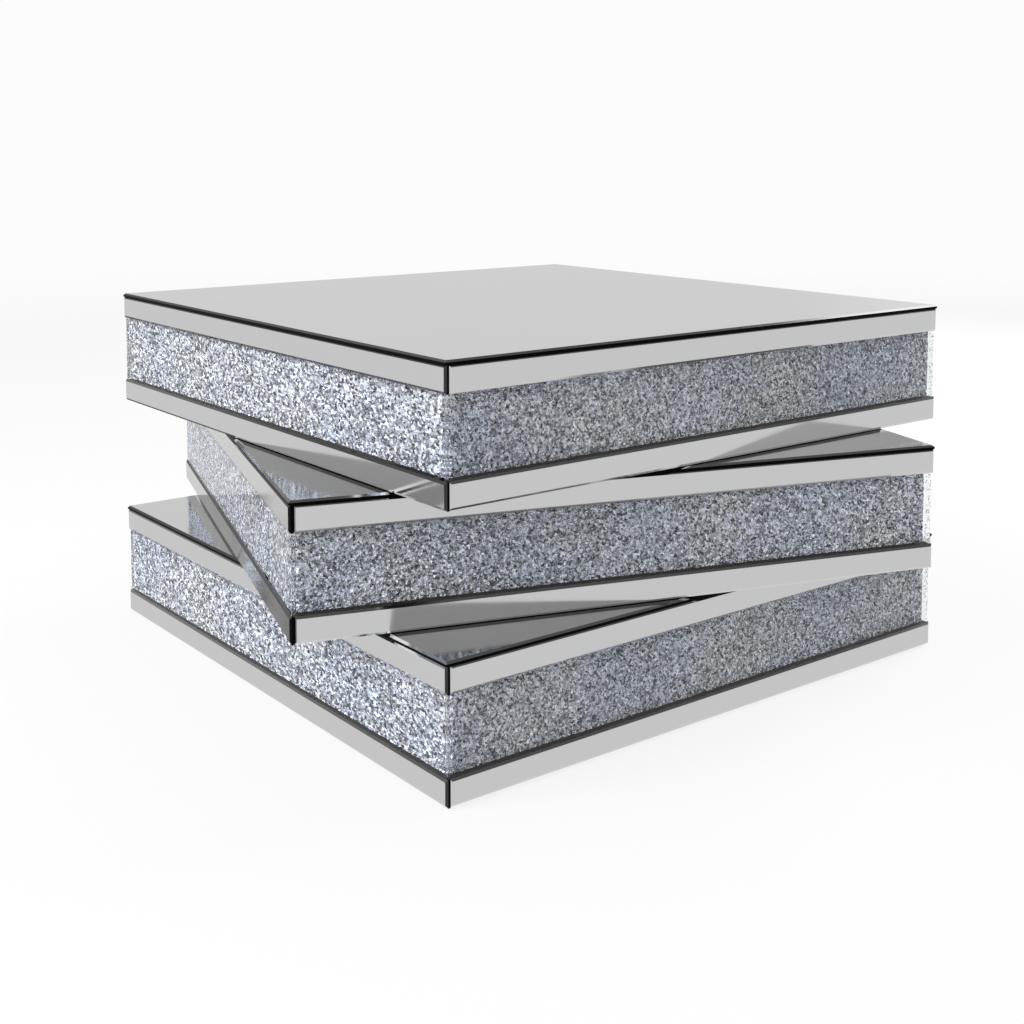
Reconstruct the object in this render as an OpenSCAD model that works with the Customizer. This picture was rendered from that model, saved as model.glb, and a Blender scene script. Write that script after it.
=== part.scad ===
// Three-tier swivel table. Each tier is a square box: bevelled mirror strips around two black
// boards, clear glass over panels of crushed crystal between them, and a mirror plate on top.
// A ball bearing in the gap above each lower tier lets the tier over it turn.
// Origin: centre of the footprint on the floor. +Z is up, and the front faces -Y.

/* [Table] */
// Width and depth of every tier
tier_w = 750; // [600:10:900]
// Angle of the middle tier against the other two, as it stands
middle_twist = -17.5; // [-45:0.5:45]
// Height of the feet under the lowest strips
foot_stand = 3; // [2:0.5:6]

/* [Tier heights] */
// Height of each mirror strip, and of the boards behind it
band_h = 28; // [24:1:36]
// Height of the crystal infill between the strips
infill_h = 83.5; // [60:0.5:120]
// Clear gap between a mirror top and the tier above it
swivel_gap = 0.8; // [0.6:0.1:2]

/* [Glass] */
// Thickness of a mirror strip
strip_t = 4.5; // [4:0.5:6]
// Thickness of a mirror top
top_t = 4.5; // [4:0.5:6]
// Width of the bevel on every mirror edge
bevel_w = 2.6; // [2:0.1:6]
// Depth of the bevel at the edge
bevel_d = 2; // [1:0.1:2.5]
// How far the clear panes sit behind the strips
pane_recess = 2; // [2:0.5:4]
// Thickness of a clear pane
pane_t = 5; // [4:0.5:7]
// Seam between two panes at a corner
pane_seam = 0.3; // [0.1:0.1:0.6]

/* [Crystal and core] */
// Thickness of the crushed crystal on its panel
crystal_t = 9; // [6:0.5:12]
// Distance of a panel's end from the outer face of the next pane
crystal_end = 9; // [8:0.5:12]
// Thickness of the inner frame's walls
core_t = 18; // [12:1:25]
// Thickness of a board inside its thick rim
panel_t = 15; // [15:1:20]
// Width of a board's rim
rim_w = 60; // [50:5:90]

/* [Swivel bearing] */
// Outer diameter of the outer ring
bearing_od = 300; // [240:10:360]
// Radial thickness of each ring
ring_w = 19; // [17:1:24]
// Ball diameter
ball_d = 6; // [5.6:0.1:6]
// Balls in each bearing
ball_count = 32; // [16:1:40]
// Hollow under a turning tier that takes part of the bearing's height
bearing_recess = 3; // [3:0.5:4]
// Screws in each ring
screw_count = 6; // [4:1:8]

/* [Feet] */
// Diameter of a foot
foot_d = 50; // [30:5:70]
// Distance of a foot's centre from the table's sides
foot_inset = 70; // [50:5:120]

/* [Hidden] */
$fn = 96;
half = tier_w / 2;
strips_h = 2 * band_h + infill_h;                // a tier without its mirror top
pitch = strips_h + top_t + swivel_gap;           // from one tier to the next
infill_z = band_h;
upper_z = band_h + infill_h;

pane_front = pane_recess;                        // depths are measured in from the strips' face
pane_back = pane_recess + pane_t;
seam = pane_seam * sqrt(2) / 2;                  // a mitred end is set back by this much along its side
crystal_back = pane_back + crystal_t;
core_back = crystal_back + core_t;

bearing_h = top_t + swivel_gap + bearing_recess; // board to board
ring_h = bearing_h - swivel_gap;
ball_gap = 3;                                    // radial space between the rings
ball_clear = 0.03;                               // running clearance of a ball in its groove
ball_z = (ring_h + swivel_gap) / 2;
outer_ring_ri = bearing_od / 2 - ring_w;
inner_ring_ro = outer_ring_ri - ball_gap;
race_r = outer_ring_ri - ball_gap / 2;
top_hole_r = bearing_od / 2 + 10;
outer_screw_r = bearing_od / 2 - 8;
inner_screw_r = inner_ring_ro - ring_w + 8;
access_r = 12;                                   // hole that a screwdriver reaches through

screw_d = 4;
screw_l = 16;
screw_head_d = 7.6;
screw_head_h = 2.4;
screw_clear = 0.05;

SIDES = ["front", "right", "back", "left"];      // each one a quarter turn on from the last
TIERS = ["base", "middle", "top"];
TWIST = [0, middle_twist, 0];
LEFT_LAPS = [false, false, false, true];         // the left strips lap both of their neighbours
RIGHT_LAPS = [true, true, false, true];

// ---- placing ----

// Children drawn from z = 0, at their tier's height and angle
module at_tier(i) {
  translate([0, 0, foot_stand + i * pitch]) rotate([0, 0, TWIST[i]]) children();
}

module at_side(s) { rotate([0, 0, 90 * s]) children(); }

// A flat outline on the front side, given as [x from the left, depth] pairs for its left half,
// mirrored about the middle and extruded to height h
module front_outline(h, left_half) {
  n = len(left_half);
  right_half = [for (k = [n - 1:-1:0]) [tier_w - left_half[k][0], left_half[k][1]]];
  translate([-half, -half, 0]) linear_extrude(h) polygon(concat(left_half, right_half));
}

// ---- mirror glass ----

// A strip of the front side, bevelled on all four edges of its face. An end either laps the next strip
// or stands against its back.
module mirror_strip(left_laps, right_laps) {
  left = left_laps ? 0 : strip_t;
  right = right_laps ? tier_w : tier_w - strip_t;
  plan = [[left, strip_t], [left, bevel_d], [left + bevel_w, 0],
          [right - bevel_w, 0], [right, bevel_d], [right, strip_t]];
  side = [[0, bevel_w], [bevel_d, 0], [strip_t, 0], [strip_t, band_h],
          [bevel_d, band_h], [0, band_h - bevel_w]];
  color("silver") translate([-half, -half, 0]) intersection() {
    linear_extrude(band_h) polygon(plan);
    rotate([90, 0, 90]) linear_extrude(tier_w) polygon(side);
  }
}

module plate_profile() {
  polygon([[-half, 0], [half, 0], [half, top_t - bevel_d], [half - bevel_w, top_t],
           [-half + bevel_w, top_t], [-half, top_t - bevel_d]]);
}

// A mirror top, bevelled round its upper edge, with a hole for the bearing under a tier
module mirror_top(drilled) {
  color("gainsboro") translate([0, 0, strips_h]) difference() {
    intersection() {
      translate([0, half, 0]) rotate([90, 0, 0]) linear_extrude(tier_w) plate_profile();
      translate([-half, 0, 0]) rotate([90, 0, 90]) linear_extrude(tier_w) plate_profile();
    }
    if (drilled) translate([0, 0, -1]) cylinder(h = top_t + 2, r = top_hole_r);
  }
}

// A clear pane of the front side, mitred with a thin seam at both ends
module glass_pane() {
  color("lightcyan", 0.4) translate([0, 0, infill_z])
    front_outline(infill_h, [[pane_back + seam, pane_back], [pane_front + seam, pane_front]]);
}

// ---- crystal and boards ----

// Four panels of crushed crystal behind the panes: square at the front edge, then mitred with a seam
module crystal_panels() {
  x_end = pane_recess + crystal_end;
  color("lightsteelblue") translate([0, 0, infill_z]) for (s = [0:3]) at_side(s)
    front_outline(infill_h, [[crystal_back + seam, crystal_back], [x_end, x_end - seam], [x_end, pane_back]]);
}

module core_frame() {
  outer = tier_w - 2 * crystal_back;
  inner = tier_w - 2 * core_back;
  color("dimgray") translate([0, 0, infill_z]) linear_extrude(infill_h) difference() {
    square(outer, center = true);
    square(inner, center = true);
  }
}

// A board of height h with a thick rim; its pocket starts at z = pocket_z and is h - panel_t deep
module board(h, pocket_z) {
  size = tier_w - 2 * strip_t;
  pocket = size - 2 * rim_w;
  color("black") difference() {
    translate([-size / 2, -size / 2, 0]) cube([size, size, h]);
    translate([-pocket / 2, -pocket / 2, pocket_z]) cube([pocket, pocket, h - panel_t + 1]);
  }
}

// Pilot holes for a ring's screws, going down from z = 0
module pilot_holes(r) {
  for (k = [0:screw_count - 1]) rotate([0, 0, k * 360 / screw_count]) translate([r, 0, -screw_l - 1])
    cylinder(h = screw_l + 2, d = screw_d + 2 * screw_clear, $fn = 32);
}

// Under the mirror top; below a bearing it has pilot holes and the access hole
module top_board(drilled) {
  difference() {
    translate([0, 0, upper_z]) board(band_h, -1);
    if (drilled) translate([0, 0, strips_h]) {
      pilot_holes(outer_screw_r);
      rotate([0, 0, 30]) translate([inner_screw_r, 0, -band_h - 1]) cylinder(h = band_h + 2, r = access_r);
    }
  }
}

// Between the lower strips; over a bearing it has pilot holes from below
module bottom_board(drilled) {
  difference() {
    translate([0, 0, bearing_recess]) board(band_h - bearing_recess, panel_t);
    if (drilled) translate([0, 0, bearing_recess]) mirror([0, 0, 1]) pilot_holes(inner_screw_r);
  }
}

// ---- swivel bearing ----

// Counterbored screw holes through a ring, with the heads at z = 0
module ring_screw_holes(r) {
  for (k = [0:screw_count - 1]) rotate([0, 0, k * 360 / screw_count]) translate([r, 0, 0]) {
    translate([0, 0, -ring_h - 1]) cylinder(h = ring_h + 2, d = screw_d + 2 * screw_clear, $fn = 32);
    translate([0, 0, -screw_head_h]) cylinder(h = screw_head_h + 1, d = screw_head_d + 0.4, $fn = 32);
  }
}

module ball_groove() {
  rotate_extrude() translate([race_r, ball_z]) circle(r = ball_d / 2 + ball_clear);
}

// Rings and balls are drawn from the lower board's surface
module outer_ring() {
  color("lightgray") difference() {
    cylinder(h = ring_h, d = bearing_od);
    translate([0, 0, -1]) cylinder(h = ring_h + 2, r = outer_ring_ri);
    ball_groove();
    translate([0, 0, ring_h]) ring_screw_holes(outer_screw_r);
  }
}

module inner_ring() {
  color("lightgray") difference() {
    translate([0, 0, swivel_gap]) cylinder(h = ring_h, r = inner_ring_ro);
    cylinder(h = bearing_h + 1, r = inner_ring_ro - ring_w);
    ball_groove();
    translate([0, 0, swivel_gap]) mirror([0, 0, 1]) ring_screw_holes(inner_screw_r);
  }
}

module balls() {
  color("gray") for (k = [0:ball_count - 1]) rotate([0, 0, k * 360 / ball_count])
    translate([race_r, 0, ball_z]) sphere(d = ball_d, $fn = 32);
}

// A cross-head screw with its head's face at z = 0, pointing down
module screw() {
  color("darkgray") difference() {
    union() {
      translate([0, 0, -screw_head_h]) cylinder(h = screw_head_h, d = screw_head_d, $fn = 32);
      translate([0, 0, -screw_l]) cylinder(h = screw_l - 1, d = screw_d, $fn = 32);
    }
    for (a = [0, 90]) rotate([0, 0, a]) translate([-2, -0.4, -1.2]) cube([4, 0.8, 2]);
  }
}

module screw_circle(r) {
  for (k = [0:screw_count - 1]) rotate([0, 0, k * 360 / screw_count]) translate([r, 0, 0]) screw();
}

// Down through an outer ring into the board of the tier below
module outer_screws() { translate([0, 0, strips_h + ring_h]) screw_circle(outer_screw_r); }

// Up through an inner ring into the board of the tier above
module inner_screws() {
  translate([0, 0, bearing_recess - ring_h]) mirror([0, 0, 1]) screw_circle(inner_screw_r);
}

module feet() {
  h = foot_stand + bearing_recess;
  at = half - foot_inset;
  color("darkslategray") for (p = [[-at, -at], [at, -at], [at, at], [-at, at], [0, 0]])
    translate([p[0], p[1], 0]) {
      cylinder(h = 1, d1 = foot_d - 2, d2 = foot_d);
      translate([0, 0, 1]) cylinder(h = h - 1, d = foot_d);
    }
}

// ---- nodes ----

for (i = [0:2]) {
  t = TIERS[i];
  at_tier(i) mirror_top(i < 2);
  at_tier(i) top_board(i < 2);
  at_tier(i) bottom_board(i > 0);
  at_tier(i) core_frame();
  at_tier(i) crystal_panels();
  for (s = [0:3]) {
    at_tier(i) at_side(s) translate([0, 0, upper_z]) mirror_strip(LEFT_LAPS[s], RIGHT_LAPS[s]);
    at_tier(i) at_side(s) mirror_strip(LEFT_LAPS[s], RIGHT_LAPS[s]);
    at_tier(i) at_side(s) glass_pane();
  }
}
at_tier(0) translate([0, 0, strips_h]) outer_ring();  // lower_bearing_outer_ring
at_tier(1) translate([0, 0, strips_h]) outer_ring();  // upper_bearing_outer_ring
at_tier(1) translate([0, 0, bearing_recess - bearing_h]) inner_ring();  // lower_bearing_inner_ring
at_tier(2) translate([0, 0, bearing_recess - bearing_h]) inner_ring();  // upper_bearing_inner_ring
at_tier(1) {  // bearing_balls
  translate([0, 0, bearing_recess - bearing_h]) balls();
  translate([0, 0, strips_h]) balls();
}
at_tier(0) outer_screws();  // base_bearing_screws
at_tier(1) { inner_screws(); outer_screws(); }  // middle_bearing_screws
at_tier(2) inner_screws();  // top_bearing_screws
feet();
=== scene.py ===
"""Looks of the three-tier swivel table: mirror strips and tops, crushed crystal behind clear panes."""
import math

import bpy
import numpy as np
from mathutils import Euler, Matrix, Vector


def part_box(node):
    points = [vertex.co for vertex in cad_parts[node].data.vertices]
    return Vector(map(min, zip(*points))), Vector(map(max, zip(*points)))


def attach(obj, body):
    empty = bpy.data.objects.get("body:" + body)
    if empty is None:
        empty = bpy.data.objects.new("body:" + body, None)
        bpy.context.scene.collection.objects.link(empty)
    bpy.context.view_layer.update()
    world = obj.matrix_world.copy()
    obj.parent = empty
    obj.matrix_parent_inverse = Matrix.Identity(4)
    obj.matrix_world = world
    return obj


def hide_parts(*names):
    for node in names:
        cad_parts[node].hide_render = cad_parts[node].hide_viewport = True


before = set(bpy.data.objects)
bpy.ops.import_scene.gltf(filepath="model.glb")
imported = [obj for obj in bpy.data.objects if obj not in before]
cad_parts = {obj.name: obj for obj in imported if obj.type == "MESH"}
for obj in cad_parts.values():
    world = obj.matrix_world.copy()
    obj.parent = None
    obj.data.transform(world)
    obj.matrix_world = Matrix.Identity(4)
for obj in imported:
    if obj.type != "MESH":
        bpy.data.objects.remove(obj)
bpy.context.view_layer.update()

MM = 0.001
TIERS = ("base", "middle", "top")
SIDES = ("front", "right", "back", "left")          # each one a quarter turn on from the last
CORNERS = (("front left", "front right"), ("front right", "back right"),
           ("back right", "back left"), ("back left", "front left"))  # at the ends of each side
TWIST = {"base": 0.0, "middle": math.radians(-17.5), "top": 0.0}

# sizes that the CAD model gives its parts
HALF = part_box("top_mirror_top")[1].x
PANE_FRONT = 2.0 * MM                               # depths are measured in from the strips' face
PANE_BACK = 7.0 * MM
CRYSTAL_BACK = 16.0 * MM
CRYSTAL_END = 10.8 * MM                             # where the crystal's chamfered corners begin
PANE_SEAM = 0.3 * MM

# room left round the clear panes, so that glass never shares a face with a board
PANE_CLEAR = 0.15 * MM
ARRIS = 0.35 * MM

# ---- nodes ----


class Nodes:
    """A material's or world's node tree, with short calls that add nodes to it."""

    def __init__(self, tree):
        self.tree = tree
        tree.nodes.clear()

    def add(self, kind, **values):
        """Adds a node. Values named by an attribute set it, and the others set or link an input."""
        node = self.tree.nodes.new(kind)
        for key, value in values.items():
            if hasattr(node, key):
                setattr(node, key, value)
            else:
                self.put(node, key.replace("_", " "), value)
        return node

    def put(self, node, key, value):
        socket = node.inputs[key]
        if isinstance(value, bpy.types.NodeSocket):
            self.tree.links.new(value, socket)
        else:
            socket.default_value = value

    def math(self, operation, *values):
        node = self.tree.nodes.new("ShaderNodeMath")
        node.operation = operation
        for i, value in enumerate(values):
            self.put(node, i, value)
        return node.outputs[0]

    def ramp(self, factor, *stops):
        """A colour ramp. Each stop is (place, grey or rgb)."""
        node = self.tree.nodes.new("ShaderNodeValToRGB")
        self.put(node, "Fac", factor)
        marks = node.color_ramp.elements
        while len(marks) < len(stops):
            marks.new(0.5)
        for mark, (place, colour) in zip(marks, stops):
            mark.position = place
            mark.color = (*((colour,) * 3 if isinstance(colour, (int, float)) else colour), 1)
        return node.outputs["Color"]

    def remap(self, value, low, high, to_low=0.0, to_high=1.0, smooth=False):
        node = self.tree.nodes.new("ShaderNodeMapRange")
        node.interpolation_type = "SMOOTHSTEP" if smooth else "LINEAR"
        for i, v in enumerate((value, low, high, to_low, to_high)):
            self.put(node, i, v)
        return node.outputs[0]

    def mix(self, factor, a, b, blend="MIX"):
        node = self.tree.nodes.new("ShaderNodeMix")
        node.data_type, node.blend_type = "RGBA", blend
        self.put(node, 0, factor)
        self.put(node, 6, a if isinstance(a, bpy.types.NodeSocket) else (*a, 1))
        self.put(node, 7, b if isinstance(b, bpy.types.NodeSocket) else (*b, 1))
        return node.outputs[2]

    def noise(self, scale, detail=2.0, roughness=0.5, vector=None):
        node = self.add("ShaderNodeTexNoise", Scale=scale, Detail=detail, Roughness=roughness)
        self.put(node, "Vector", vector or self.place())
        return node.outputs["Fac"]

    def cells(self, scale, vector=None, output="Color"):
        node = self.add("ShaderNodeTexVoronoi", Scale=scale)
        self.put(node, "Vector", vector or self.place())
        return node.outputs[output]

    def place(self):
        """Where a point is on the object, which moves with its body."""
        return self.add("ShaderNodeTexCoord").outputs["Object"]

    def bump(self, height, distance, strength=1.0):
        return self.add("ShaderNodeBump", Height=height, Distance=distance, Strength=strength).outputs[0]


def material(name):
    mat = bpy.data.materials.new(name)
    mat.use_nodes = True
    return mat, Nodes(mat.node_tree)


def principled(nodes, **values):
    shader = nodes.tree.nodes.new("ShaderNodeBsdfPrincipled")
    for key, value in values.items():
        key = key.replace("_", " ")
        nodes.put(shader, key, (*value, 1) if isinstance(value, tuple) and len(value) == 3 else value)
    return shader


def output(nodes, shader):
    out = nodes.tree.nodes.new("ShaderNodeOutputMaterial")
    nodes.tree.links.new(shader.outputs[0], out.inputs["Surface"])


# ---- materials ----


def mirror_material(name, reflectance):
    """Silvered glass: very smooth, with the least waviness, and faint wiping marks."""
    mat, n = material(name)
    wipe = n.noise(9.0, detail=5.0, roughness=0.6)
    dark, light = (tuple(reflectance * k for k in (a, a * 1.002, a * 1.006)) for a in (0.985, 1.0))
    tint = n.ramp(wipe, (0.35, dark), (0.65, light))
    rough = n.remap(n.noise(26.0, detail=4.0), 0.35, 0.75, 0.105, 0.13)
    wave = n.bump(n.noise(5.0, detail=1.0), 0.0004, 0.05)
    output(n, principled(n, Base_Color=tint, Metallic=1.0, Roughness=rough, Normal=wave))
    return mat


def glass_edge_material():
    """The painted and cut edge of a mirror: black gloss with fine grinding marks."""
    mat, n = material("mirror_edge_black")
    grain = n.noise(900.0, detail=3.0)
    colour = n.ramp(grain, (0.3, (0.0006, 0.0006, 0.0007)), (0.8, (0.002, 0.002, 0.0022)))
    rough = n.remap(grain, 0.2, 0.8, 0.25, 0.45)
    output(n, principled(n, Base_Color=colour, Roughness=rough, Normal=n.bump(grain, 0.0001, 0.3),
                         Specular_IOR_Level=0.03))
    return mat


def pane_material():
    """Clear glass that bends what the camera sees through it and lets lamplight pass."""
    mat, n = material("clear_glass_pane")
    wave = n.bump(n.noise(6.0, detail=1.0), 0.0003, 0.05)
    smear = n.remap(n.noise(18.0, detail=4.0), 0.4, 0.9, 0.0, 0.02)
    glass = principled(n, Base_Color=(0.975, 0.985, 0.985), Roughness=smear, IOR=1.5,
                       Transmission_Weight=1.0, Specular_IOR_Level=0.12, Normal=wave)
    path = n.add("ShaderNodeLightPath")
    lit = n.math("MAXIMUM", path.outputs["Is Shadow Ray"], path.outputs["Is Diffuse Ray"])
    lit = n.math("MAXIMUM", lit, path.outputs["Is Glossy Ray"])
    clear = n.add("ShaderNodeBsdfTransparent", Color=(0.97, 0.98, 0.98, 1))
    mixed = n.tree.nodes.new("ShaderNodeMixShader")
    n.put(mixed, 0, lit)
    n.put(mixed, 1, glass.outputs[0])
    n.put(mixed, 2, clear.outputs[0])
    output(n, mixed)
    return mat


def crystal_material():
    """Crushed silvered crystal: each chip has its own grey, near black to white, and most are bluish."""
    mat, n = material("crushed_crystal")
    stretch = n.tree.nodes.new("ShaderNodeVectorMath")
    stretch.operation = "MULTIPLY"
    n.put(stretch, 0, n.place())
    n.put(stretch, 1, (1.0, 0.62, 0.92))
    grit = stretch.outputs[0]
    chip = n.add("ShaderNodeSeparateColor")
    n.put(chip, 0, n.cells(420.0, vector=grit))
    fine = n.add("ShaderNodeSeparateColor")
    n.put(fine, 0, n.cells(800.0, vector=grit))
    tone = n.math("ADD", n.math("MULTIPLY", chip.outputs[0], 0.72),
                  n.math("MULTIPLY", fine.outputs[0], 0.28))
    grey = n.ramp(tone, (0.10, 0.03), (0.25, 0.22), (0.44, 0.50), (0.72, 0.72), (0.88, 1.0))
    hue = n.ramp(chip.outputs[1], (0.0, (0.87, 0.935, 1.11)), (0.6, (0.93, 0.96, 1.08)),
                 (1.0, (1.0, 0.985, 0.985)))
    patch = n.ramp(n.noise(9.0, detail=2.0), (0.34, (0.96, 0.98, 1.03)), (0.50, (1.0, 0.995, 1.0)),
                   (0.66, (1.03, 1.02, 0.98)))
    colour = n.mix(1.0, n.mix(1.0, grey, hue, "MULTIPLY"), patch, "MULTIPLY")
    rough = n.remap(fine.outputs[1], 0.0, 1.0, 0.08, 0.30)
    silver = n.remap(chip.outputs[2], 0.2, 0.8, 0.55, 1.0)
    facets = n.bump(n.cells(520.0, vector=grit, output="Distance"), 0.0018, 0.9)
    output(n, principled(n, Base_Color=colour, Metallic=silver, Roughness=rough, Normal=facets))
    return mat


def board_material():
    """Fibreboard sprayed black: nearly matt, with a fine orange peel."""
    mat, n = material("black_board_paint")
    speck = n.noise(420.0, detail=3.0)
    broad = n.noise(14.0, detail=3.0)
    colour = n.ramp(broad, (0.3, (0.002, 0.002, 0.0022)), (0.7, (0.005, 0.005, 0.0054)))
    rough = n.remap(speck, 0.3, 0.7, 0.38, 0.55)
    output(n, principled(n, Base_Color=colour, Roughness=rough, Normal=n.bump(speck, 0.0002, 0.4),
                         Specular_IOR_Level=0.1))
    return mat


def fibreboard_material():
    """Raw fibreboard: pressed fibres in small clumps."""
    mat, n = material("raw_fibreboard")
    fibre = n.noise(260.0, detail=6.0, roughness=0.7)
    clump = n.noise(40.0, detail=3.0)
    base = n.ramp(fibre, (0.3, (0.30, 0.225, 0.150)), (0.7, (0.46, 0.365, 0.260)))
    colour = n.mix(n.remap(clump, 0.35, 0.7, 0.0, 0.35), base, (0.24, 0.18, 0.12))
    output(n, principled(n, Base_Color=colour, Roughness=n.remap(fibre, 0.2, 0.8, 0.75, 0.95),
                         Normal=n.bump(fibre, 0.0004, 0.6)))
    return mat


def turned_metal_material(name, colour, centre_z):
    """Metal turned on a lathe: fine rings about the bearing's axis."""
    mat, n = material(name)
    split = n.add("ShaderNodeSeparateXYZ")
    n.put(split, 0, n.place())
    radius = n.math("SQRT", n.math("ADD", n.math("POWER", split.outputs[0], 2.0),
                                   n.math("POWER", split.outputs[1], 2.0)))
    rings = n.add("ShaderNodeCombineXYZ")
    n.put(rings, 0, radius)
    n.put(rings, 1, n.math("SUBTRACT", split.outputs[2], centre_z))
    marks = n.noise(2600.0, detail=3.0, vector=rings.outputs[0])
    tint = n.ramp(marks, (0.3, tuple(0.86 * c for c in colour)), (0.7, colour))
    output(n, principled(n, Base_Color=tint, Metallic=1.0, Roughness=n.remap(marks, 0.2, 0.8, 0.22, 0.40),
                         Normal=n.bump(marks, 0.00005, 0.5)))
    return mat


def metal_material(name, colour, rough, scale):
    """Polished or plated steel with faint blotches."""
    mat, n = material(name)
    blotch = n.noise(scale, detail=4.0)
    tint = n.ramp(blotch, (0.3, tuple(0.84 * c for c in colour)), (0.7, colour))
    output(n, principled(n, Base_Color=tint, Metallic=1.0,
                         Roughness=n.remap(blotch, 0.2, 0.8, 0.7 * rough, 1.4 * rough),
                         Normal=n.bump(blotch, 0.00004, 0.3)))
    return mat


def rubber_material():
    mat, n = material("foot_rubber_matt")
    pores = n.noise(1100.0, detail=3.0)
    colour = n.ramp(n.noise(60.0, detail=3.0), (0.3, (0.020, 0.020, 0.021)), (0.7, (0.042, 0.042, 0.044)))
    output(n, principled(n, Base_Color=colour, Roughness=n.remap(pores, 0.2, 0.8, 0.7, 0.9),
                         Normal=n.bump(pores, 0.00015, 0.5)))
    return mat


MIRROR = mirror_material("silvered_mirror", 0.80)
PAINTED_SHADE_BEVEL = mirror_material("painted_shade_mirror", 0.13)     # painted shade: a darker mirror on the left strips' bevels at one end, a painted reflection of the dark room
EDGE = glass_edge_material()
PANE = pane_material()
CRYSTAL = crystal_material()
BOARD = board_material()
FIBREBOARD = fibreboard_material()
STEEL_BALL = metal_material("polished_ball_steel", (0.74, 0.74, 0.76), 0.08, 160.0)
ZINC = metal_material("zinc_plated_steel", (0.58, 0.59, 0.60), 0.30, 420.0)
RUBBER = rubber_material()

# ---- the CAD nodes ----


def paint(node, *materials):
    """Puts these materials in a CAD node's slots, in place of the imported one."""
    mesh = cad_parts[node].data
    mesh.materials.clear()
    for mat in materials:
        mesh.materials.append(mat)


def turn_point(x, y, angle):
    return x * math.cos(angle) - y * math.sin(angle), x * math.sin(angle) + y * math.cos(angle)


def paint_glass(node, outward, painted_shade_toward=None):
    """Mirror on the faces that look outward, and the black cut edge on every other one. Outward faces that
    also turn toward the second direction given get a darker mirror, a painted reflection of shade.
    """
    paint(node, MIRROR, EDGE, PAINTED_SHADE_BEVEL)
    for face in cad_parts[node].data.polygons:
        face.material_index = 0 if face.normal.dot(outward) > 0.3 else 1
        if painted_shade_toward and face.material_index == 0 and face.normal.dot(painted_shade_toward) > 0.3:
            face.material_index = 2


def paint_frame(node, twist):
    """Raw fibreboard, with its outer face painted black, because that face shows under the crystal."""
    paint(node, FIBREBOARD, BOARD)
    deepest = CRYSTAL_BACK + 1.0 * MM               # the outer face touches the crystal's back
    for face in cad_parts[node].data.polygons:
        x, y = turn_point(face.center.x, face.center.y, -twist)
        face.material_index = int(max(abs(x), abs(y)) > HALF - deepest)


for tier in TIERS:
    paint_glass(f"{tier}_mirror_top", Vector((0, 0, 1)))
    for s, side in enumerate(SIDES):
        angle = TWIST[tier] + s * math.pi / 2
        outward, along = (Vector((*turn_point(x, y, angle), 0)) for x, y in ((0, -1), (1, 0)))
        for band in ("upper", "lower"):
            # the left strips' bevels at one end get the darker mirror, painted shade standing in for a dark
            # reflection
            paint_glass(f"{tier}_{band}_strip_{side}", outward, along if side == "left" else None)
    paint(f"{tier}_top_board", BOARD)
    paint(f"{tier}_bottom_board", BOARD)
    paint_frame(f"{tier}_core_frame", TWIST[tier])
    paint(f"{tier}_bearing_screws", ZINC)
for level in ("lower", "upper"):
    ring_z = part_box(f"{level}_bearing_outer_ring")[0].z
    ring = turned_metal_material(f"{level}_turned_aluminium", (0.72, 0.73, 0.75), ring_z)
    paint(f"{level}_bearing_outer_ring", ring)
    paint(f"{level}_bearing_inner_ring", ring)
paint("bearing_balls", STEEL_BALL)
paint("feet", RUBBER)

# ---- new pieces ----


def make_piece(name, points, faces, mat, tier, replaced):
    """A mesh from points on the tier as it stands before its twist. It rides on the tier's body."""
    mesh = bpy.data.meshes.new(name)
    angle = TWIST[tier]
    points = np.asarray(points, float)
    turned = np.column_stack((*turn_point(points[:, 0], points[:, 1], angle), points[:, 2]))
    mesh.from_pydata(turned.tolist(), [], faces)
    mesh.validate()
    mesh.update()
    mesh.materials.append(mat)
    obj = bpy.data.objects.new(name, mesh)
    bpy.context.scene.collection.objects.link(obj)
    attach(obj, f"{tier}_tier")
    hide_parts(replaced)
    return obj


def at_side(x, depth, s):
    """The point x along side s from its left end and depth in from its face, seen from above."""
    return turn_point(x - HALF, depth - HALF, s * math.pi / 2)


def prism(outline, low, high):
    """Points and faces of an upright prism on an outline given anticlockwise."""
    n = len(outline)
    points = [(x, y, z) for z in (low, high) for x, y in outline]
    faces = [list(range(n))[::-1], list(range(n, 2 * n))]
    faces += [[i, (i + 1) % n, (i + 1) % n + n, i + n] for i in range(n)]
    return points, faces


def clear_pane(tier, s):
    """A pane mitred at both ends, with its two sharp edges ground off."""
    side = SIDES[s]
    node = f"{tier}_glass_pane_{side}"
    low, high = (c.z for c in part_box(node))
    seam = PANE_SEAM * math.sqrt(0.5)
    left = [(PANE_BACK + seam, PANE_BACK), (PANE_FRONT + seam + ARRIS, PANE_FRONT + ARRIS),
            (PANE_FRONT + seam + 2 * ARRIS, PANE_FRONT)]
    outline = left + [(2 * HALF - x, d) for x, d in reversed(left)]
    outline = [at_side(x, d, s) for x, d in outline]
    points, faces = prism(outline, low + PANE_CLEAR, high - PANE_CLEAR)
    return make_piece(f"{tier}_clear_pane_{side}", points, faces, PANE, tier, node)


GRAIN = 2.2 * MM                                    # width of a chip of crystal
RELIEF = 1.7 * MM                                   # how far the chips stand out of their bed
BEHIND_PANE = 0.9 * MM
CRYSTAL_JOINT = 1.2 * MM                            # groove between two sides' crystal at a corner
GRAIN_SHIFT = 0.42                                  # how far a chip's corner strays, as a share of GRAIN
BACK_LEFT_START = 0.6 * MM                          # how far in the crystal starts at the unchamfered corner
GRIT_SIZE = 1.6 * MM                                # a loose chip reaches 0.45 to 0.8 of this from its middle
GRIT_THICK = 0.12 * MM
# loose chips for each GRIT_SIZE square of a corner's mitre
GRIT_FILL = {"front left": 1.4, "front right": 0.3, "back right": 0.3, "back left": 4.5}
LEDGE = 2.2 * MM                                    # black board left bare under the crystal


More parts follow.
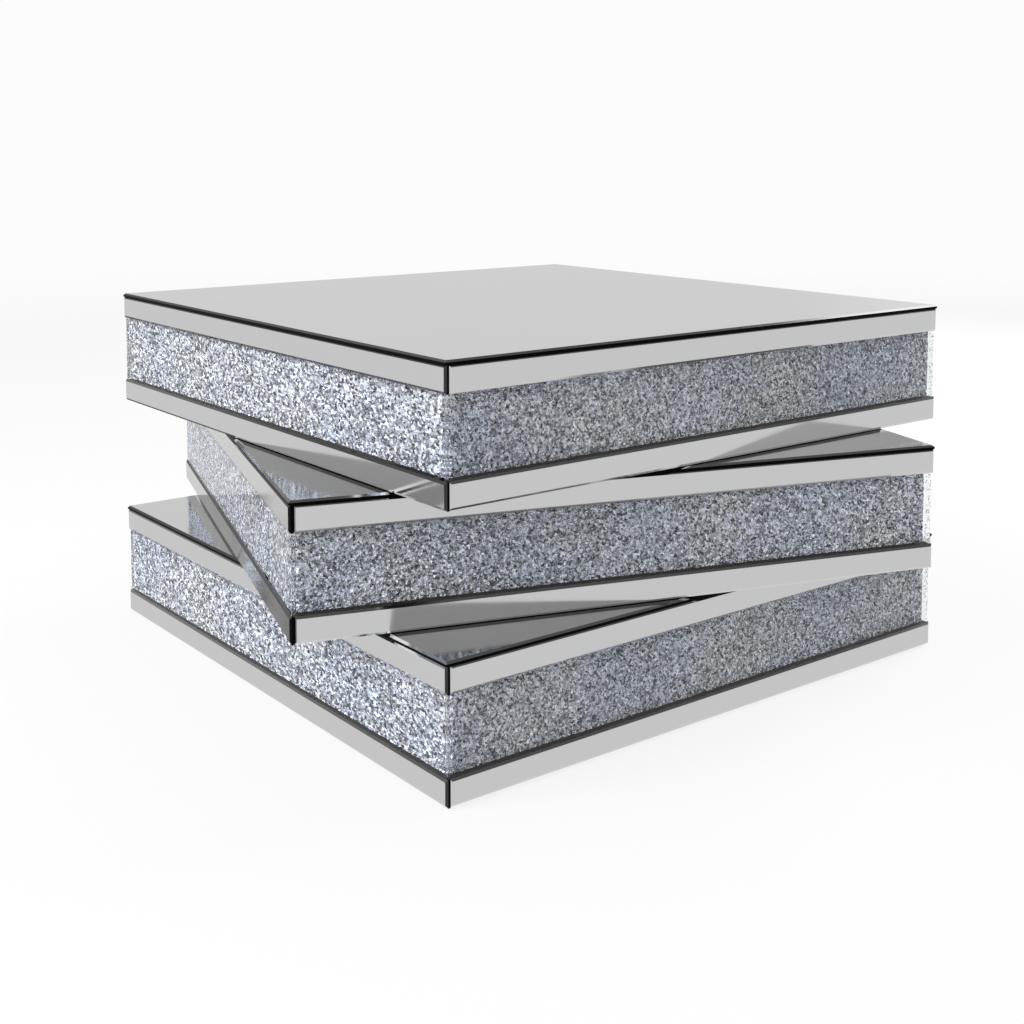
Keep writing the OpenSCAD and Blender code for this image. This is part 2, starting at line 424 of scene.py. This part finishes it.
def crystal_side(rng, s, low, high):
    """Points and faces of one side's bed of chips, which turns in at its ends to meet its neighbours."""
    d_front = PANE_BACK + BEHIND_PANE
    gap = CRYSTAL_JOINT / 2
    starts = [d_front + BACK_LEFT_START if corner == "back left" else CRYSTAL_END for corner in CORNERS[s]]
    turns = [(start - d_front) / math.sqrt(2) - gap for start in starts]
    length = 2 * HALF - sum(starts)
    run = length + sum(turns)                       # the bed's length with its chamfers folded out flat
    nu, nz = round(run / GRAIN), round((high - low) / GRAIN)
    u = np.linspace(-turns[0], length + turns[1], nu + 1)[None, :].repeat(nz + 1, 0)
    z = np.linspace(low, high, nz + 1)[:, None].repeat(nu + 1, 1)
    inside = np.zeros(u.shape, bool)
    inside[1:-1, 1:-1] = True
    u = u + inside * rng.uniform(-GRAIN_SHIFT, GRAIN_SHIFT, u.shape) * GRAIN
    z = z + inside * rng.uniform(-GRAIN_SHIFT, GRAIN_SHIFT, z.shape) * GRAIN
    sink = rng.uniform(0.0, 1.0, u.shape) ** 1.3 * RELIEF
    past = np.maximum(-u, 0) + np.maximum(u - length, 0)
    turned_in = (np.maximum(u - length, 0) - np.maximum(-u, 0)) * math.sqrt(0.5)
    x = np.clip(u, 0, length) + starts[0] + turned_in
    depth = d_front + past * math.sqrt(0.5) + sink
    fronts = [(*at_side(a, b, s), c) for a, b, c in zip(x.ravel(), depth.ravel(), z.ravel())]

    def index(i, j):
        return i * (nu + 1) + j

    faces = []
    flips = rng.integers(0, 2, (nz, nu))
    for i in range(nz):
        for j in range(nu):
            a, b, c, d = index(i, j), index(i, j + 1), index(i + 1, j + 1), index(i + 1, j)
            faces += [[a, b, c], [a, c, d]] if flips[i, j] else [[a, b, d], [b, c, d]]
    back_x = CRYSTAL_BACK + gap * math.sqrt(2)
    backs = [(*at_side(a, CRYSTAL_BACK, s), c) for c in (low, high) for a in (back_x, 2 * HALF - back_x)]
    k = len(fronts)
    top = [index(nz, j) for j in range(nu + 1)]
    bottom = [index(0, j) for j in range(nu + 1)]
    left_rim = [index(i, 0) for i in range(nz + 1)]
    right_rim = [index(i, nu) for i in range(nz + 1)]
    faces += [[k + 1, k, k + 2, k + 3], bottom[::-1] + [k, k + 1], top + [k + 3, k + 2],
              left_rim + [k + 2, k], right_rim[::-1] + [k + 1, k + 3]]
    return fronts + backs, faces


def corner_grit(rng, s, low, high):
    """Loose chips caught in the mitre between this side's pane and the next one's, each a thin flake."""
    corner = CORNERS[s][1]
    near, far = PANE_FRONT + ARRIS, PANE_BACK + BEHIND_PANE
    count = round(GRIT_FILL[corner] * (far - near) * math.sqrt(2) * (high - low) / GRIT_SIZE ** 2)
    points, faces = [], []
    for _ in range(count):
        middle, z = rng.uniform(near, far), rng.uniform(low + GRIT_SIZE, high - GRIT_SIZE)
        spin = rng.uniform(0, 2 * math.pi)
        k = len(points)
        for i in range(3):
            turn = spin + i * 2 * math.pi / 3
            reach = rng.uniform(0.45, 0.8) * GRIT_SIZE
            for across in (-GRIT_THICK / 2, GRIT_THICK / 2):
                depth = min(max(middle + reach * math.cos(turn) * math.sqrt(0.5), near), far)
                x = 2 * HALF - depth + across * math.sqrt(0.5)
                points.append((*at_side(x, depth + across * math.sqrt(0.5), s), z + reach * math.sin(turn)))
        faces += [[k, k + 2, k + 4], [k + 1, k + 5, k + 3], [k, k + 1, k + 3, k + 2],
                  [k + 2, k + 3, k + 5, k + 4], [k + 4, k + 5, k + 1, k]]
    return points, faces


def crystal_bed(tier, rng):
    """The crushed crystal on all four sides of a tier."""
    node = f"{tier}_crystal_panels"
    low, high = (c.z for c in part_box(node))
    points, faces = [], []
    for s in range(4):
        bed = crystal_side(rng, s, low + LEDGE, high - PANE_CLEAR)
        for more, rings in (bed, corner_grit(rng, s, low, high)):
            faces += [[i + len(points) for i in ring] for ring in rings]
            points += more
    return make_piece(f"{tier}_crushed_crystal", points, faces, CRYSTAL, tier, node)


rng = np.random.default_rng(7)
for tier in TIERS:
    crystal_bed(tier, rng)
    for s in range(4):
        clear_pane(tier, s)

# ---- floor ----

BACKDROP = 0.973                                    # the white that the camera sees behind the table
MATT_LIGHT = 0.85                                   # the room's light on matt surfaces
THROUGH_GLASS = 1.03                                # the backdrop where the panes refract it
FLOOR_RADIUS = 6.0
FLOOR_FADE = (2.2, 5.8)                             # from where the floor fades, and to where
FLOOR_GLOW = 0.905


def floor():
    """A pale sheet lit from below like a light table, whose rim fades into the white backdrop."""
    angles = np.linspace(0, 2 * math.pi, 96, endpoint=False)
    ring = [(FLOOR_RADIUS * math.cos(a), FLOOR_RADIUS * math.sin(a), 0) for a in angles]
    mesh = bpy.data.meshes.new("studio_floor")
    mesh.from_pydata(ring, [], [list(range(len(ring)))])
    mat, n = material("pale_floor")
    tone = n.ramp(n.noise(1.5, detail=3.0), (0.3, 0.93), (0.7, 0.95))
    sheet = principled(n, Base_Color=tone, Roughness=0.9, Specular_IOR_Level=0.1)
    glow = n.add("ShaderNodeEmission", Color=(1, 1, 1, 1), Strength=FLOOR_GLOW)
    lit = n.tree.nodes.new("ShaderNodeMixShader")
    n.put(lit, 0, 0.95)
    n.put(lit, 1, sheet.outputs[0])
    n.put(lit, 2, glow.outputs[0])
    away = n.tree.nodes.new("ShaderNodeVectorMath")
    away.operation = "LENGTH"
    n.put(away, 0, n.place())
    faded = n.tree.nodes.new("ShaderNodeMixShader")
    n.put(faded, 0, n.remap(away.outputs["Value"], *FLOOR_FADE, smooth=True))
    n.put(faded, 1, lit.outputs[0])
    n.put(faded, 2, n.add("ShaderNodeBsdfTransparent").outputs[0])
    output(n, faded)
    mesh.materials.append(mat)
    obj = bpy.data.objects.new("studio_floor", mesh)
    bpy.context.scene.collection.objects.link(obj)
    obj.visible_glossy = False


floor()

# ---- studio ----


FOCUS = Vector((0, 0, 0.22))                        # what the softboxes point at, half way up the table


def direction(azimuth, elevation):
    """Unit vector; azimuth is counted anticlockwise from +X, in degrees."""
    a, e = math.radians(azimuth), math.radians(elevation)
    return Vector((math.cos(a) * math.cos(e), math.sin(a) * math.cos(e), math.sin(e)))


# What mirrors see. The floor is white, the room above it is dark, and these panels stand in it. Each is
# (azimuth: from, full from, full to, to), (elevation: the same four), brightness. Angles are in degrees.
PANELS = (
    ((76, 79, 97, 101), (2, 4, 40, 44), 0.12),      # gap between the backdrop and the left wall
    ((70, 74, 82, 84), (11.5, 13, 18, 20), 0.50),   # pale sheet that hangs in that gap
    ((98, 104, 128, 132), (3, 6, 13, 17), 0.42),    # left wall
    ((128, 134, 150, 157), (3, 8, 34, 38), 0.85),   # left diffuser
    ((8, 16, 72, 77), (-6, -2, 31, 34), 0.68),      # backdrop
    ((10, 20, 34, 42), (-4, 0, 8, 14), 0.80),       # its brighter end
    ((-20.5, -17.5, -4, 0), (3, 8, 30, 32), 1.15),  # right diffuser, lower part
    ((-4, 0, 10, 14), (3, 8, 40, 41.5), 1.15),      # right diffuser, higher part
    ((-72, -64, -26, -20), (6, 8, 25, 28), 0.46),   # front diffuser
    ((-100, -97, -76, -72), (14, 17, 22, 25), 0.36),  # its dim left end
    ((153, 160, 238, 252), (5, 14, 60, 74), 1.1),   # left key's soft side, which only turned chips see
    ((92, 104, 238, 252), (48, 54, 84, 89), 1.1),   # and what hangs over it
    ((148, 154, 182, 192), (-31, -25, -5, 1), 0.075),  # the dark room behind the camera
    ((184, 188, 206, 214), (-31, -25, -5, 1), 0.32),   # and the wall beside it
    ((-70, -50, 60, 84), (-91, -90, -38, -30), 0.74),  # floor close to the table
    ((80, 85, 101, 108), (-60, -52, -19, -13), 0.07),  # shaded floor between the table and the left wall
)


def studio_world():
    """White to the camera and to matt surfaces. Mirrors see a white floor and panels in a dark room."""
    world = bpy.data.worlds.new("studio")
    bpy.context.scene.world = world
    world.use_nodes = True
    n = Nodes(world.node_tree)
    ray = n.add("ShaderNodeSeparateXYZ")
    n.put(ray, 0, n.add("ShaderNodeTexCoord").outputs["Generated"])
    to_degrees = 180 / math.pi
    azimuth = n.math("MULTIPLY", n.math("ARCTAN2", ray.outputs[1], ray.outputs[0]), to_degrees)
    azimuth = n.math("WRAP", azimuth, 260.0, -100.0)
    elevation = n.math("MULTIPLY", n.math("ARCSINE", ray.outputs[2]), to_degrees)

    def window(value, start, full_from, full_to, end):
        rise = n.remap(value, start, full_from, smooth=True)
        return n.math("MULTIPLY", rise, n.remap(value, full_to, end, 1.0, 0.0, smooth=True))

    glow = n.remap(elevation, -1.0, 5.0, 0.695, 0.24, smooth=True)
    glow = n.math("MULTIPLY", glow, n.remap(elevation, 17.0, 26.0, 1.0, 0.35, smooth=True))
    for sideways, upright, level in PANELS:
        share = n.math("MULTIPLY", window(azimuth, *sideways), window(elevation, *upright))
        keep = n.math("MULTIPLY", glow, n.math("SUBTRACT", 1.0, share))
        glow = n.math("ADD", keep, n.math("MULTIPLY", share, level))
    path = n.add("ShaderNodeLightPath")
    kinds = ("Camera", "Diffuse", "Transmission")
    camera, matt, through = (path.outputs[f"Is {kind} Ray"] for kind in kinds)
    plain = n.math("MAXIMUM", n.math("MAXIMUM", camera, matt), through)
    level = n.math("MULTIPLY", glow, n.math("SUBTRACT", 1.0, plain))
    for share, strength in ((camera, BACKDROP), (matt, MATT_LIGHT), (through, THROUGH_GLASS)):
        level = n.math("ADD", level, n.math("MULTIPLY", share, strength))
    back = n.add("ShaderNodeBackground", Color=(1, 1, 1, 1))
    n.put(back, "Strength", level)
    out = n.tree.nodes.new("ShaderNodeOutputWorld")
    n.tree.links.new(back.outputs[0], out.inputs["Surface"])


def softbox(name, azimuth, elevation, distance, width, height, watts):
    light = bpy.data.lights.new(name, "AREA")
    light.shape, light.size, light.size_y, light.energy = "RECTANGLE", width, height, watts
    obj = bpy.data.objects.new(name, light)
    bpy.context.scene.collection.objects.link(obj)
    away = direction(azimuth, elevation)
    obj.location = FOCUS + away * distance
    obj.rotation_mode = "QUATERNION"
    obj.rotation_quaternion = away.to_track_quat("Z", "Y")
    obj.visible_camera = False
    obj.visible_glossy = False                      # its panel stands in for it in mirrors


studio_world()
softbox("key_left", 176, 22, 3.2, 2.2, 1.4, 330)
softbox("key_right", -2, 22, 3.2, 2.2, 1.4, 270)

# ---- camera ----


CAMERA_PLACE = (-1.1462, -1.4742, 0.6428)
CAMERA_HEADING = 0.6583                             # clockwise from +Y, in radians
CAMERA_PITCH = -0.0805
LENS, SENSOR, SHIFT_Y = 50.99, 36.0, -0.25


def camera():
    data = bpy.data.cameras.new("camera")
    data.sensor_width, data.lens, data.shift_y = SENSOR, LENS, SHIFT_Y
    obj = bpy.data.objects.new("camera", data)
    bpy.context.scene.collection.objects.link(obj)
    obj.location = CAMERA_PLACE
    obj.rotation_euler = Euler((math.pi / 2 + CAMERA_PITCH, 0, -CAMERA_HEADING))
    data.clip_start, data.clip_end = 0.05, 200
    bpy.context.scene.camera = obj


camera()
bpy.context.scene.view_settings.view_transform = "Standard"
bpy.context.scene.view_settings.look = "None"
